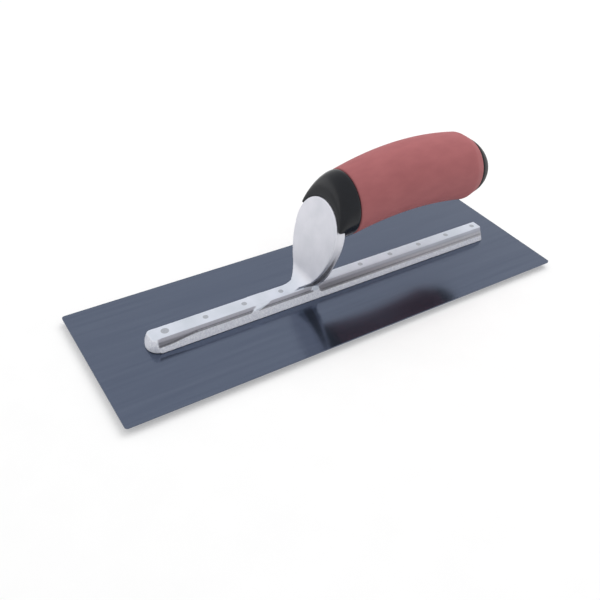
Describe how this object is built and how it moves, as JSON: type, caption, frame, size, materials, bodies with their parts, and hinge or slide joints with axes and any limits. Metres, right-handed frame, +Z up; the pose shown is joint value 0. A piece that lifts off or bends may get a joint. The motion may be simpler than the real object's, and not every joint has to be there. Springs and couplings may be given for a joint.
{
  "type": "finishing trowel",
  "caption": "Rectangular steel finishing trowel: a flat blade riveted under a cast aluminium mounting whose leaf-shaped shank carries an arched soft-grip handle.",
  "frame": {"origin": "centre of the blade's underside", "axes": "+X along the blade from its toe to its heel, +Z up towards the handle, +Y across the blade"},
  "size_m": [0.3048, 0.1016, 0.0888],
  "materials": {
    "blade_steel": "blued, brushed lengthwise",
    "cast_aluminium": "satin, polished on top",
    "rivet_metal": "ground flush",
    "black_plastic": "gloss",
    "core_plastic": "matte",
    "grip_rubber": "soft matte",
    "stud_steel": "plated"
  },
  "bodies": {
    "root": {"blade": "blade_steel", "mounting": "cast_aluminium", "toe_rivet": "rivet_metal", "bar_rivets": "rivet_metal", "front_collar": "black_plastic", "handle_core": "core_plastic", "soft_grip": "grip_rubber", "end_cap": "black_plastic", "handle_stud": "stud_steel", "stud_washer": "stud_steel", "stud_nut": "stud_steel"}
  },
  "joints": []
}
